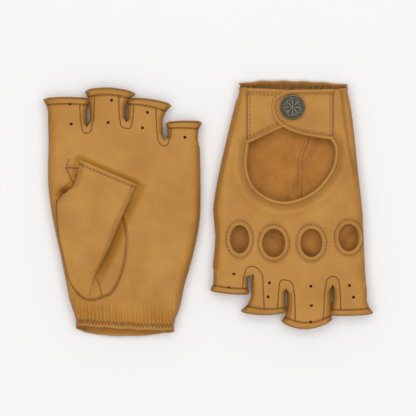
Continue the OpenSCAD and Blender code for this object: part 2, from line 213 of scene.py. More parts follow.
def make_thread(name, light, dark):
    """Waxed polyester sewing thread: two plies twisted every 0.8 mm, with a low wax sheen."""
    made, tree, shader, place = finish_of(name, {"Roughness": 0.55, "Specular IOR Level": 0.4})
    ply = noise(tree, place, 1300.0, 2.0, Distortion=0.6)
    tree.links.new(ramp(tree, ply, (0.38, dark), (0.62, light)), shader.inputs["Base Color"])
    bumped(tree, shader, ply, 0.5, 0.0002)
    return made


def make_pierced():
    """The dark inside of a punched hole: raw skin in shade."""
    made, tree, shader, place = finish_of("punched_hole", {"Roughness": 0.95, "Specular IOR Level": 0.1})
    fibre = noise(tree, place, 1800.0, 2.0)
    tree.links.new(ramp(tree, fibre, (0.3, "#2a1a0c"), (0.7, "#402a14")), shader.inputs["Base Color"])
    return made


def make_elastic():
    """Woven rubber webbing: brown polyester ribs 0.7 mm apart over rubber strands."""
    made, tree, shader, place = finish_of("elastic_weave", {"Roughness": 0.85, "Specular IOR Level": 0.2})
    ribs = add(tree, "TexWave", {"Scale": 220.0, "Distortion": 1.0, "bands_direction": "X"},
               {"Vector": place}).outputs[1]
    tree.links.new(ramp(tree, ribs, (0.2, "#80582a"), (0.8, "#a87a42")), shader.inputs["Base Color"])
    bumped(tree, shader, ribs, 0.6, 0.0004)
    return made


def make_gunmetal():
    """Antiqued gunmetal plating on pressed brass: nearly black in the hollows, rubbed back to grey
    steel on the raised work, with fine uneven tarnish."""
    made, tree, shader, place = finish_of("antique_gunmetal", {"Metallic": 1.0, "Roughness": 0.42})
    tarnish = noise(tree, place, 420.0, 5.0, Roughness=0.7)
    dull = ramp(tree, tarnish, (0.3, "#35352f"), (0.55, "#57564c"), (0.75, "#78756a"))
    rubbed = ramp(tree, tarnish, (0.3, "#7f7c70"), (0.7, "#aaa698"))
    tree.links.new(mixed(tree, wear_and_shade_share(tree), dull, rubbed), shader.inputs["Base Color"])
    tree.links.new(add(tree, "MapRange", {3: 0.34, 4: 0.6}, {0: tarnish}).outputs[0],
                   shader.inputs["Roughness"])
    bumped(tree, shader, tarnish, 0.25, 0.0003)
    return made


TAN = hide_leather("tan_nappa", "#bd8736", "#b47d2f", "#a87127", "#744415", 0.22, 0.52)
EDGE = hide_leather("edge_nappa", "#c08c3e", "#b88236", "#aa752c", "#744415", 0.16, 0.48)
SUEDE = make_suede()
STITCH = make_thread("waxed_thread", "#8c5a22", "#683f14")
SEAM = make_thread("seam_shadow", "#84541e", "#6a4216")
PIERCED = make_pierced()
ELASTIC = make_elastic()
GUNMETAL = make_gunmetal()


# ---- shapes

def smooth(t):
    """0 before 0, 1 after 1, eased between."""
    t = np.clip(t, 0, 1)
    return t * t * (3 - 2 * t)


def bell(d, width):
    """1 at a distance of 0, fading as a Gaussian of this width."""
    return np.exp(-(np.asarray(d) / width) ** 2)


def curve(knots, step=1.0, closed=False):
    """A Catmull-Rom curve through the knots, as points at even distances of about step."""
    k = np.asarray(knots, float)
    if closed:
        p = np.vstack([k[-1:], k, k[:2]])
    else:
        p = np.vstack([2 * k[0] - k[1], k, 2 * k[-1] - k[-2]])
    t = np.linspace(0, 1, 24, endpoint=False)[None, :, None]
    a, b, c, d = p[:-3, None], p[1:-2, None], p[2:-1, None], p[3:, None]
    dense = 0.5 * (2 * b + (c - a) * t + (2 * a - 5 * b + 4 * c - d) * t ** 2
                   + (3 * b - a - 3 * c + d) * t ** 3)
    dense = np.vstack([dense.reshape(-1, k.shape[1]), k[:1] if closed else k[-1:]])
    return even(dense, step, closed)


def unit(vectors):
    """Each row at length 1."""
    return vectors / np.linalg.norm(vectors, axis=1, keepdims=True).clip(1e-9)


def along(line, run, at):
    """The points of a line at these distances, run being its own points' distances."""
    return np.stack([np.interp(at, run, column) for column in line.T], axis=1)


def lengths(line):
    """How far along a line each of its points is."""
    return np.append(0, np.cumsum(np.linalg.norm(np.diff(line, axis=0), axis=1)))


def even(line, step, closed=False):
    """The same line with its points at even distances of about step."""
    run = lengths(line)
    out = along(line, run, np.linspace(0, run[-1], max(4, round(run[-1] / step)) + 1))
    return out[:-1] if closed else out


def distance(x, y, line):
    """How far each point is from a line of points, in the plane."""
    a, b = line[:-1, :2], line[1:, :2]
    d = b - a
    px, py = np.asarray(x)[..., None] - a[:, 0], np.asarray(y)[..., None] - a[:, 1]
    t = np.clip((px * d[:, 0] + py * d[:, 1]) / (d ** 2).sum(1).clip(1e-9), 0, 1)
    return np.sqrt((px - t * d[:, 0]) ** 2 + (py - t * d[:, 1]) ** 2).min(-1)


def inside(x, y, loop):
    """True for each point within a closed outline, by counting crossings."""
    x, y = np.asarray(x)[..., None], np.asarray(y)[..., None]
    a, b = loop[:, :2], np.roll(loop[:, :2], -1, axis=0)
    crosses = (a[:, 1] > y) != (b[:, 1] > y)
    rise = np.where(b[:, 1] == a[:, 1], 1e-9, b[:, 1] - a[:, 1])
    return (crosses & (x < (b[:, 0] - a[:, 0]) * (y - a[:, 1]) / rise + a[:, 0])).sum(-1) % 2 == 1


def ripple(x, y, length, turn=0.0):
    """Gentle unevenness between -1 and 1: three crossing waves of about this length."""
    a = 2 * np.pi / length
    return (np.sin(a * (0.9 * x + 0.35 * y) + turn) + np.sin(a * (0.88 * y - 0.4 * x) + 1.7 * turn + 1)
            + np.sin(a * (0.78 * x - 1.04 * y) + 2.3 * turn + 2)) / 3


def square_ring(nx, nz):
    """Points once round a square from -1 to 1, anticlockwise from its lower left corner, closer
    together towards the corners."""
    t = np.sin(np.pi / 2 * np.linspace(-1, 1, nx, endpoint=False))
    w = np.linspace(-1, 1, nz, endpoint=False)
    return np.vstack([np.stack([t, -np.ones(nx)], 1), np.stack([np.ones(nz), w], 1),
                      np.stack([-t, np.ones(nx)], 1), np.stack([-np.ones(nz), -w], 1)])


def quads(rows, columns, closed=False, loop=False, flip=False):
    """Faces of a grid of points, row by row; closed joins the last column to the first, and loop
    the last row to the first."""
    i = np.arange(rows if loop else rows - 1)[:, None]
    j = np.arange(columns if closed else columns - 1)[None, :]
    a, b = i * columns, (i + 1) % rows * columns
    k = (j + 1) % columns
    faces = np.stack(np.broadcast_arrays(a + j, a + k, b + k, b + j), -1).reshape(-1, 4)
    return faces[:, ::-1] if flip else faces


def place(points, side):
    """Glove millimetres to metres in the row frame: the left glove is slid, and the right one is
    reflected through the point between the two."""
    points = np.asarray(points, float)
    if side == "left":
        return (points + [-PAIR, 0, 0]) * 0.001
    return ([PAIR, 0, HEIGHT] - points) * 0.001


def piece(side, name, points, faces, finish, body="hand", wear_and_shade=None, slot="tan_leather",
          wall=0.0, inner=None, turn_ends=None):
    """A mesh of one glove, riding on one of its bodies. wall gives the leather its thickness inwards, with
    another finish on the flesh side; with turn_ends given, the piece only has its place baked in and rides on
    no body, and the bend it names is not made."""
    mesh = bpy.data.meshes.new(f"{side}_{name}")
    order = np.asarray(faces)
    if side == "right":
        order = order[:, ::-1]
    mesh.from_pydata(place(points, side).tolist(), [], order.tolist())
    # per-point share of wear, and on leather also of painted shade, read by the finishes
    shade = mesh.attributes.new("wear_and_shade", "FLOAT", "POINT")
    if wear_and_shade is not None:
        shade.data.foreach_set("value", np.clip(wear_and_shade, 0, 1).astype(np.float32).ravel())
    tidy = bmesh.new()
    tidy.from_mesh(mesh)
    bmesh.ops.remove_doubles(tidy, verts=tidy.verts, dist=1e-7)
    bmesh.ops.dissolve_degenerate(tidy, edges=tidy.edges, dist=1e-8)
    loose = [v for v in tidy.verts if not v.link_faces]
    bmesh.ops.delete(tidy, geom=loose, context="VERTS")
    tidy.to_mesh(mesh)
    tidy.free()
    mesh.materials.append(finish)
    if inner:
        mesh.materials.append(inner)
    mesh.polygons.foreach_set("use_smooth", np.ones(len(mesh.polygons), bool))
    thing = bpy.data.objects.new(mesh.name, mesh)
    bpy.context.scene.collection.objects.link(thing)
    if wall:
        skin = thing.modifiers.new("leather", "SOLIDIFY")
        skin.thickness = wall * 0.001
        skin.offset = -1
        skin.use_quality_normals = True
        skin.material_offset = 1 if inner else 0
        bpy.context.view_layer.update()
        made = bpy.data.meshes.new_from_object(thing.evaluated_get(bpy.context.evaluated_depsgraph_get()))
        thing.modifiers.clear()
        skin_faces = 2 * len(mesh.polygons)     # outer and inner skin come first, then the cut edges
        thing.data = made
        made.polygons.foreach_set("use_smooth", np.arange(len(made.polygons)) < skin_faces)
        sides = np.zeros(len(made.loops), np.int32)
        made.loops.foreach_get("edge_index", sides)
        cut = sum(p.loop_total for p in list(made.polygons)[skin_faces:])
        sharp = np.zeros(len(made.edges), bool)
        sharp[sides[len(sides) - cut:]] = True    # a cut edge doesn't turn the skin's own shading
        made.edges.foreach_set("use_edge_sharp", sharp)
    if turn_ends:
        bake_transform(thing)
    else:
        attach(thing, f"{side}_{body}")
    return thing


def frames(line, up, closed=False):
    """Along a line: the way it runs, the side across it, and up squared to it."""
    if closed:
        run = np.roll(line, -1, axis=0) - np.roll(line, 1, axis=0)
    else:
        run = np.gradient(line, axis=0)
    run = unit(run)
    across = unit(np.cross(run, np.broadcast_to(np.asarray(up, float), line.shape)))
    return run, across, np.cross(across, run)


def roll_grid(line, width, depth, up, closed=False, around=14):
    """A rolled edge or cord: an ellipse of these half sizes carried along a line. Open ends are
    drawn in to a rounded point."""
    run, across, high = frames(line, up, closed)
    a = np.linspace(0, 2 * np.pi, around, endpoint=False)
    size = np.ones(len(line))
    if not closed:
        line = np.vstack([line[:1], line[:1], line, line[-1:], line[-1:]])
        run, across, high = (np.vstack([q[:1], q[:1], q, q[-1:], q[-1:]]) for q in (run, across, high))
        size = np.concatenate([[0, 0.7], size, [0.7, 0]])
        back = np.concatenate([[-1, -0.7], np.zeros(len(line) - 4), [0.7, 1]]) * min(width, depth) * 0.8
        line = line + run * back[:, None]
    ring = (np.cos(a)[None, :, None] * width * across[:, None]
            + np.sin(a)[None, :, None] * depth * high[:, None])
    points = line[:, None] + ring * size[:, None, None]
    return points.reshape(-1, 3), quads(len(line), around, closed=True, loop=closed, flip=True)


def capsules(starts, ends, up, radius, around=6):
    """Short threads from start to end, each a round-ended cylinder bowed slightly upwards, with
    its ends sunk."""
    starts, ends = np.asarray(starts, float), np.asarray(ends, float)
    length = np.linalg.norm(ends - starts, axis=1, keepdims=True).clip(1e-6)
    run = (ends - starts) / length
    across = unit(np.cross(run, np.broadcast_to(np.asarray(up, float), run.shape)))
    high = np.cross(across, run)
    t = np.array([0, 0.04, 0.2, 0.5, 0.8, 0.96, 1])
    size = np.array([0, 0.62, 0.95, 1, 0.95, 0.62, 0]) * radius
    lift = np.array([-0.9, -0.45, 0.1, 0.35, 0.1, -0.45, -0.9]) * radius
    a = np.linspace(0, 2 * np.pi, around, endpoint=False)
    ring = np.cos(a)[:, None] * across[:, None, None] + np.sin(a)[:, None] * high[:, None, None]
    middle = starts[:, None] + run[:, None] * (length * t)[..., None] + high[:, None] * lift[:, None]
    points = middle[:, :, None] + ring * size[None, :, None, None]
    one = quads(len(t), around, closed=True, flip=True)
    count = len(t) * around
    faces = one[None] + (np.arange(len(starts)) * count)[:, None, None]
    return points.reshape(-1, 3), faces.reshape(-1, 4)


def stitches_on(line, up, radius=THREAD, length=2.1, gap=0.7, closed=False):
    """A row of running stitches lying on a line: each this long, this far apart."""
    full = np.vstack([line, line[:1]]) if closed else line
    run = lengths(full)
    count = max(1, int(run[-1] / (length + gap)))
    at = (np.arange(count) + 0.5) * run[-1] / count
    if np.ndim(up) == 2:
        up = along(np.vstack([up, up[:1]]) if closed else up, run, at)
    return capsules(along(full, run, at - length / 2), along(full, run, at + length / 2), up, radius)


def joined(parts):
    """Several (points, faces) as one."""
    start, points, faces = 0, [], []
    for p, f in parts:
        points.append(p)
        faces.append(f + start)
        start += len(p)
    return np.vstack(points), np.vstack(faces)


# ---- the two gloves

# The folded thumb's two long edges, from its lowest point to its cut end
THUMB_LEFT = curve([(-25.6, -61.6), (-34.7, -53.6), (-38.4, -46), (-42, -31), (-45, -18), (-46.3, -4),
                    (-46.6, 5), (-44, 10.2), (-39, 14), (-35, 19), (-32.8, 25), (-31.5, 30.5),
                    (-30.8, 35.4)])
THUMB_RIGHT = curve([(-24.4, -61), (-19.8, -46), (-9.7, -25), (0.2, -1.5), (9.4, 18.2)])
THUMB_PLAN = np.vstack([THUMB_LEFT, THUMB_RIGHT[::-1]])
THUMB_AXIS = np.array([(-25.0, -61.3), (-10.7, 26.8)])

# The oval seam that sets the thumb into the palm, from its crotch round the heel
OVAL = curve([(-46.6, 7.5), (-46.9, 3), (-46.3, -6), (-45, -18), (-42, -31), (-38.4, -46), (-35, -53.4),
              (-30.6, -59), (-25, -61.8), (-20, -61.9), (-14.6, -60), (-9.5, -57.8), (-6.4, -54),
              (-2.8, -46.9), (0.4, -35.7), (1.8, -24.5), (1.4, -14), (-1.2, -5), (-6, 4)])

# The round opening on the back, from the strap's seam round to the under-tab's, and the tabs' edges
OPENING_EDGE = curve([(-27.5, -50.6), (-30.4, -45.5), (-30.9, -39), (-28.2, -28.5), (-19.5, -16.5),
                      (-8, -8.8), (5, -5.6), (17, -8.2), (27, -15.5), (31.8, -25), (33, -35), (31.6, -47.5)])
STRAP_FREE = curve([(-28.5, -50.8), (-19, -52.2), (-8.6, -54.2), (0.5, -57), (6.5, -60.2), (10.8, -64.4),
                    (13, -69.6), (13.2, -75.2), (10.6, -80.8), (5.6, -84.2), (-1, -85.4), (-14, -85.6),
                    (-28.5, -85.8)])
UNDER_TOP = curve([(31.6, -48.2), (22, -52.6), (12, -57.4), (2, -61.6)])
UNDER_LOW = curve([(31.6, -86.6), (16, -86), (2, -85.4)])
STRAP_SEAM = -28.0
UNDER_SEAM = 31.4
OPENING = np.vstack([OPENING_EDGE, UNDER_TOP[1:14], STRAP_FREE[14:0:-1]])
OPENING_MIDDLE = (1.0, -32.0)

KNUCKLES = ((-39.4, 18.6, 7.2, 9.5), (-13.2, 22.2, 7.7, 9.9), (13.1, 22.3, 8.0, 9.9), (36.9, 19.7, 6.7, 9.9))
FINGERS = ("index", "middle", "ring", "little")


def crown(s):
    """Height share across a flat-lying glove: level, then round over at the sides like a fold."""
    t = np.clip((np.abs(s) - 0.85) / 0.15, 0, 1)
    return (1 - t ** 2.3) ** (1 / 2.3) * (1 - 0.05 * s ** 2)


class Glove:
    """One glove: its outlines as lying, and the heights of its palm and back over any point."""

    def __init__(self, side, index_side, little_side, palm_cuff, back_cuff, slits, ends, rims,
                 waists, peek, spread, dip, bow, turn):
        self.side, self.turn, self.peek = side, turn, peek
        self.index_side, self.little_side = curve(index_side), curve(little_side)
        self.palm_cuff, self.back_cuff = curve(palm_cuff), curve(back_cuff)
        self.slits, self.ends, self.rims, self.waists = slits, ends, rims, waists
        self.spread, self.dip, self.bow = spread, dip, bow

    def edges(self, y):
        """x of the index side and of the little finger's side."""
        return (np.interp(y, self.index_side[:, 1], self.index_side[:, 0]),
                np.interp(y, self.little_side[:, 1], self.little_side[:, 0]))

    def across(self, x, y):
        """Place across the glove, -1 at the index side and 1 at the little finger's."""
        low, high = self.edges(y)
        return np.clip((2 * x - low - high) / (high - low), -1, 1)

    def cuff(self, x, back):
        line = self.back_cuff if back else self.palm_cuff
        return np.interp(x, line[:, 0], line[:, 1]) + 0.22 * np.sin(x / 2.3 + self.turn)

    def crotch(self, x):
        """y where the fingers part from the hand: straight from slit to slit."""
        first, last = self.ends
        at = [(self.edges(first)[0], first)] + list(self.slits) + [(self.edges(last)[1], last)]
        return np.interp(x, [p[0] for p in at], [p[1] for p in at])

    def bed(self, x, y):
        """How far the palm gives way under the folded thumb, 0 to 1: within the thumb's outline
        eased in from its sewn edge, and past its fold and its end eased out."""
        out = distance(x, y, np.vstack([THUMB_PLAN, THUMB_PLAN[:1]]))
        within = inside(x, y, THUMB_PLAN)
        a, b = THUMB_AXIS
        right = (x - a[0]) * (b[1] - a[1]) - (y - a[1]) * (b[0] - a[0]) > 0
        seam = distance(x, y, THUMB_LEFT[THUMB_LEFT[:, 1] < 4])
        share = ((x - a[0]) * (b[0] - a[0]) + (y - a[1]) * (b[1] - a[1])) / ((b - a) ** 2).sum()
        shallow = 1 - 0.5 * smooth((share - 0.72) / 0.3)
        past = np.where(right | (y > 24), smooth(1 - out / np.where(right & (y < 18), 7.5, 4.5)),
                        0.75 * smooth(1 - out / 5) * smooth((y - 6) / 5))
        return np.where(within, smooth(seam / 7), past) * smooth((y + 64) / 34) * shallow

    def gathers(self, x, y, above):
        """Pleats drawn up by the elastic: about 4.6 mm apart, deepest just above the band."""
        wave = np.sin(2 * np.pi * x / 4.6 + 1.3 * np.sin(x / 6 + self.turn) + 0.06 * y)
        deep = smooth(above / 7) * np.exp(-np.clip(above - 8, 0, 99) / 9) * 0.8
        return wave * (deep + 0.12 * smooth(1 - above / 7)) + 0.5 * np.sin(x / 5.2 + self.turn) * deep

    def palm(self, x, y):
        """Height of the palm's outside: the crowned flat, less the thumb's bed, the seams' grooves,
        the pleats over the cuff and the skin's slow waves."""
        soft = crown(self.across(x, y))
        above = y - self.cuff(x, False)
        z = MID + PALM_RISE * soft * (1 - 0.24 * smooth(1 - above / 16) - 0.04 * smooth((y - 20) / 40))
        z = z + soft * (0.28 * ripple(x, y, 37, self.turn) + 0.12 * ripple(x, y, 14, self.turn + 2))
        z = z - 5.0 * self.bed(x, y)
        seam = distance(x, y, OVAL)
        z = z + soft * (0.35 * bell(seam - 2.2, 1.4) - 0.55 * bell(seam, 0.7))
        z = z + soft * self.gathers(x, y, above)
        crease = bell(y + 70.5 - 0.12 * (x + 24), 2.2) * smooth((x + 37) / 8) * smooth((-8 - x) / 10)
        z = z - 0.9 * soft * crease
        heel = distance(x, y, np.array([(6.0, -60.0), (11, -42), (13, -24)]))
        return z - 0.45 * soft * bell(heel - 3, 2.5) + 0.35 * soft * bell(heel + 0.5, 3)

    def back(self, x, y):
        """Height of the back's outside: the crowned flat, sunk towards the wrist, with a shallow
        moat round the opening, grooves round the knuckle holes and a slanting fold by the strap."""
        soft = crown(self.across(x, y))
        z = MID - BACK_DROP * soft * (1 - 0.03 * smooth((y - 20) / 40))
        z = z + soft * (2.0 * smooth((-44 - y) / 18) - 0.25 * ripple(x, y, 41, self.turn + 4)
                        - 0.1 * ripple(x, y, 15, self.turn + 1))
        rim = distance(x, y, OPENING_EDGE)
        z = z + soft * 1.7 * bell(rim - 6.5, 4.6) * smooth((y + 60) / 14)
        fold = distance(x, y, np.array([(-33.0, -90.0), (-35.5, -66), (-38.5, -46), (-42.5, -26)]))
        left = x < np.interp(y, [-90, -66, -46, -26], [-33.0, -35.5, -38.5, -42.5])
        z = z + soft * np.where(left, 1.0, 0.25) * bell(fold - 1.6, 2.0) * smooth((-18 - y) / 16)
        for cx, cy, a, b in KNUCKLES:
            off = (np.hypot((x - cx) / a, (y - cy) / b) - 1) * (a + b) / 2
            z = z + soft * (0.3 * bell(off - 3.2, 0.6) + 0.45 * bell(off - 6, 3) * (off > 0))
        tuck = distance(x, y, np.array([(-27.0, 2.0), (8, -1.5), (30, 1)]))
        return z + 0.45 * soft * bell(tuck, 5)


LEFT = Glove(
    "left",
    index_side=[(-33.6, -92), (-33.6, -78), (-34.6, -73), (-38.2, -62), (-41, -48), (-44.2, -32), (-49, -10),
                (-52, 8), (-53.3, 24), (-52.9, 49), (-53.5, 62)],
    little_side=[(35.3, -92), (35.2, -77), (37, -72), (39, -66), (41.9, -52), (46, -38), (50.2, -21),
                 (52.9, -3), (53.2, 24), (52.8, 41), (52.3, 58)],
    palm_cuff=[(-36, -79.4), (-15, -80.8), (10, -82.4), (38, -83.3)],
    back_cuff=[(-36, -80.6), (-27, -84.6), (-12, -87), (6, -88), (24, -86.8), (38, -84)],
    slits=[(-25.6, 57.8), (1.7, 61.5), (27.7, 49.1)], ends=(57.0, 46.0),
    rims=[((-56.2, 77.0), (-23.7, 76.8), 1.0), ((-27, 82.8), (7.7, 80.9), 2.6),
          ((3.1, 76.9), (32.9, 72.9), 1.6), ((30.0, 60.2), (54.4, 60.6), 0.7)],
    waists=[(-53.2, -26.2), (-23.8, 1.0), (2.7, 27.2), (30.6, 52.0)],
    peek=2.0, spread=(3.4, 3.8, 3.8), dip=3.6, bow=(2.6, 3.9), turn=0.0)

RIGHT = Glove(
    "right",
    index_side=[(-37.6, -95), (-38.4, -86), (-41.6, -70), (-44.3, -47), (-46, -30), (-49.3, 0), (-50, 15),
                (-51.5, 46), (-53, 58)],
    little_side=[(36, -95), (36.9, -85), (43.3, -59), (50, -30), (53.4, -12), (54.7, 0), (53.4, 19),
                 (54.8, 36), (55.4, 48)],
    palm_cuff=[(-40, -88.2), (-22, -90), (0, -91), (22, -91), (38, -89)],
    back_cuff=[(-40, -85.6), (-28, -85.0), (31, -85.6), (38, -86.8)],
    slits=[(-28.0, 50.6), (4.3, 53.4), (27.0, 43.6)], ends=(50.0, 41.0),
    rims=[((-56.6, 72.2), (-25.8, 72.9), 0.8), ((-27.6, 77.2), (7.2, 78.0), 5.2),
          ((4.2, 71.0), (35.7, 70.8), 2.0), ((30.6, 58.4), (57.2, 56.0), 0.8)],
    waists=[(-52.4, -28.7), (-27.2, 3.2), (5.0, 28.6), (31.0, 55.2)],
    peek=-1.5, spread=(4.6, 4.8, 6.2), dip=5.0, bow=(1.7, 0.0), turn=2.1)


# ---- pieces of one glove

def seam_line(g, name, line, width, up=(0, 0, 1), lift=0.0, turn_ends=None):
    """A closed seam seen as a fine dark groove: a flat thread of shadow let into the leather."""
    points, faces = roll_grid(line, width, 0.22, up, around=6)
    piece(g.side, name, points + [0, 0, lift], faces, SEAM, turn_ends=turn_ends)


def beside(line, off):
    """A plane line moved this far to its left, or to its right if off is below 0."""
    step = unit(np.diff(line, axis=0, append=line[-1:] * 2 - line[-2:-1]))
    return line + step[:, ::-1] * [-off, off]


def rolled(g, name, lines, width, depth, up, dark, body="hand", closed=False, around=14, turn_ends=None):
    """Rolled leather edges of one kind, darkened by rubbing, along one or more lines."""
    points, faces = joined([roll_grid(line, width, depth, up, closed, around) for line in lines])
    return piece(g.side, name, points, faces, EDGE, body, np.full(len(points), dark), "edge_leather",
                 turn_ends=turn_ends)


def sewn(g, name, rows, body="hand", turn_ends=None):
    """Rows of stitches as one piece of thread."""
    piece(g.side, name, *joined(rows), STITCH, body, turn_ends=turn_ends)


def on_palm(g, line, sink=0.0):
    """A plane line laid on the palm."""
    return np.column_stack([line[:, :2], g.palm(line[:, 0], line[:, 1]) - sink])


def on_back(g, line, sink=0.0):
    """A plane line laid on the back of the hand."""
    return np.column_stack([line[:, :2], g.back(line[:, 0], line[:, 1]) + sink])


def hand_grid(g, back, rows, columns):
    """Places over the palm or the back: columns gather towards the side folds, rows run from the
    cuff's edge to the line between the slits."""
    s = np.sin(np.pi / 2 * np.linspace(-1, 1, columns))[None, :]
    v = np.linspace(0, 1, rows)[:, None]
    y = np.broadcast_to(-85 + v * 135, (rows, columns))
    for _ in range(4):
        low, high = g.edges(y)
        x = low + (high - low) * (s + 1) / 2
        y = g.cuff(x, back) + (g.crotch(x) - g.cuff(x, back)) * v
    return x, y


def make_palm(g):
    """The palm: a sheet over the whole hand at the palm's height, tan outside and suede inside."""
    rows, columns = 210, 150
    x, y = hand_grid(g, False, rows, columns)
    z = g.palm(x, y)
    # Darker along the oval seam, at the side folds and towards the cuff: wear and painted shade. A painted
    # shadow beside the thumb's fold, and painted shade in the pocket at the thumb's crotch and at the quirk.
    wear_shade_mask = 0.5 * bell(distance(x, y, OVAL), 1.3) + 0.28 * smooth((np.abs(g.across(x, y)) - 0.93) / 0.07)
    past = distance(x, y, THUMB_RIGHT)
    wear_shade_mask = wear_shade_mask + 0.55 * g.bed(x, y) ** 2 * bell(past, 3.4) + 0.16 * smooth(1 - (y - g.cuff(x, False)) / 12)
    pocket = np.hypot((x + 41.5) / 4.5, (y - 14.5) / 3.2)
    wear_shade_mask = wear_shade_mask + 0.9 * bell(pocket, 1) + 0.35 * bell(distance(x, y, np.array([(-37, 30.0), (-33, 20)])), 3)
    piece(g.side, "palm", np.stack([x, y, z], -1).reshape(-1, 3), quads(rows, columns), TAN,
          wear_and_shade=wear_shade_mask, wall=LEATHER, inner=SUEDE)


def make_back(g):
    """The back: a sheet at the back's height, with the round opening, the gap between the wrist
    tabs and the four knuckle holes left out. Points just inside a hole are drawn out to its edge."""
    rows, columns = 210, 150
    x, y = hand_grid(g, True, rows, columns)
    gap = (x > STRAP_SEAM - 0.5) & (x < UNDER_SEAM + 0.3) & (y < -47)
    hole = inside(x, y, OPENING)
    out = hole | gap
    cx, cy = OPENING_MIDDLE
    turn = np.arctan2(OPENING[:, 1] - cy, OPENING[:, 0] - cx)
    order = np.argsort(turn)
    reach = np.hypot(OPENING[:, 1] - cy, OPENING[:, 0] - cx)[order]
    edge = np.interp(np.arctan2(y - cy, x - cx), turn[order], reach, period=2 * np.pi)
    stretch = np.where(hole & ~gap, edge / np.hypot(x - cx, y - cy).clip(1e-6), 1)
    nx, ny = cx + (x - cx) * stretch, cy + (y - cy) * stretch
    for kx, ky, a, b in KNUCKLES:
        rho = np.hypot((x - kx) / a, (y - ky) / b).clip(1e-6)
        nx, ny = np.where(rho < 1, kx + (x - kx) / rho, nx), np.where(rho < 1, ky + (y - ky) / rho, ny)
        out = out | (rho < 1)
    faces = quads(rows, columns, flip=True)
    kept = out.ravel()[faces].sum(1) < 3
    z = g.back(x, y)
    # Darker at the side folds and towards the cuff: wear and painted shade. Painted shade beside the opening's
    # binding, in the grooves round the knuckle holes and under their facings, and in the slanting fold by the
    # strap.
    wear_shade_mask = 0.28 * smooth((np.abs(g.across(x, y)) - 0.93) / 0.07) + 0.10 * smooth(1 - (y - g.cuff(x, True)) / 12)
    wear_shade_mask = wear_shade_mask + 0.34 * bell(distance(x, y, OPENING_EDGE) - 2.6, 2.8)
    for kx, ky, a, b in KNUCKLES:
        off = (np.hypot((x - kx) / a, (y - ky) / b) - 1) * (a + b) / 2
        wear_shade_mask = wear_shade_mask + 0.35 * bell(off - 3.2, 1.3) + 0.25 * bell(off - 0.5, 1.0)
    fold = distance(x, y, np.array([(-34.0, -90.0), (-36.5, -66), (-39.5, -46), (-43.5, -26)]))
    wear_shade_mask = wear_shade_mask + 0.34 * bell(fold, 1.6) * smooth((-18 - y) / 16)
    piece(g.side, "back", np.stack([nx, ny, z], -1).reshape(-1, 3), faces[kept], TAN,
          wear_and_shade=wear_shade_mask, wall=LEATHER, inner=SUEDE)


def finger_shape(g, k):
    """How one finger stall lies. Returns a function of (round, v): a square ring's points and the
    way from crotch (0) to cut end (1), giving points, with lift moving them outwards."""
    first, last = g.ends
    ends = [(g.edges(first)[0], first)] + list(g.slits) + [(g.edges(last)[1], last)]
    (ax, ay), (bx, by) = ends[k], ends[k + 1]
    (rax, ray), (rbx, rby), bulge = g.rims[k]
    wa, wb = g.waists[k]

    def shape(ring, v, lift=0.0):
        v = np.asarray(v, float)[:, None]
        px, pz = ring[None, :, 0], ring[None, :, 1]
        soft = smooth(v / 0.3)
        size = (np.abs(px) ** 3.6 + np.abs(pz) ** 3.6).clip(1e-9) ** (-1 / 3.6)
        qx, qz = px + (px * size - px) * soft, pz + (pz * size - pz) * soft
        flare = np.clip((v - 0.5) / 0.5, 0, 1) ** 2.1
        slim = smooth(v / 0.26)
        low = ax + (wa - ax) * slim + (rax - wa) * flare
        high = bx + (wb - bx) * slim + (rbx - wb) * flare
        t = (qx + 1) / 2
        x = low + (high - low) * t
        behind = (1 - pz) / 2
        base = ay + (by - ay) * ((x - ax) / (bx - ax) * (1 - slim) + t * slim)
        top = ray + (rby - ray) * t + bulge * (1 - (2 * t - 1) ** 2) + g.peek * behind
        y = base + (top - base) * v
        thin = 1 - 0.10 * v + 0.10 * flare
        own_palm = PALM_RISE * 0.95 * thin + 0.25 * ripple(x, y, 19, g.turn + k)
        own_back = BACK_DROP * 0.95 * thin + 0.2 * ripple(x, y, 17, g.turn + k + 3)
        z_palm = (1 - soft) * (g.palm(x, y) - MID) + soft * own_palm
        z_back = (1 - soft) * (MID - g.back(x, y)) + soft * own_back
        z = MID + qz * np.where(qz > 0, z_palm, z_back)
        return np.stack([x + lift * qx, y, z + lift * qz], -1)

    return shape, ((ax + bx) / 2, (ay + by) / 2), (bx - ax, by - ay), abs((ray + rby) / 2 - (ay + by) / 2)


def make_finger(g, k):
    """One stall: a tube from the crotch line to its flared cut end, which is turned in and sewn 3 mm down."""
    name = FINGERS[k]
    shape, (mx, my), (dx, dy), long = finger_shape(g, k)
    ring = square_ring(44, 12)
    v = np.linspace(0, 1, 64)
    hem = 1 - FINGER_HEM / long
    lift = 0.32 * smooth((v - hem) / 0.03) - 0.45 * bell((v - hem) * long, 0.5)
    points = shape(ring, v, lift[:, None])
    px = ring[None, :, 0]
    # Darker at the stitched hem's groove, at the cut end and at the side folds: wear and painted shade.
    wear_shade_mask = (0.42 * bell((v[:, None] - hem) * long, 1.0) + 0.30 * bell((1 - v[:, None]) * long, 0.9)
            + 0.34 * smooth((np.abs(px) - 0.86) / 0.14) * smooth(v[:, None] / 0.12) + 0 * px)
    normal = np.array([-dy, dx, 0]) / math.hypot(dx, dy)
    bend = (f"{name}_finger", (mx, my, MID), tuple(np.array([mx, my, MID]) + 9 * normal))
    piece(g.side, f"{name}_finger", points.reshape(-1, 3), quads(len(v), len(ring), closed=True, flip=True),
          TAN, wear_and_shade=wear_shade_mask, wall=LEATHER, inner=SUEDE, turn_ends=bend)
    tip = shape(ring, [0.995], -0.35)[0]
    rolled(g, f"{name}_rim", [tip], 0.72, 0.78, (0, 1, 0), 0.18, f"{name}_finger", closed=True, around=10)
    row = shape(ring, [hem], -0.02)[0]
    sewn(g, f"{name}_rim_stitches", [stitches_on(row, (row - row.mean(0)) * [1, 0, 3], 0.24, closed=True)],
         f"{name}_finger")
    return shape, bend


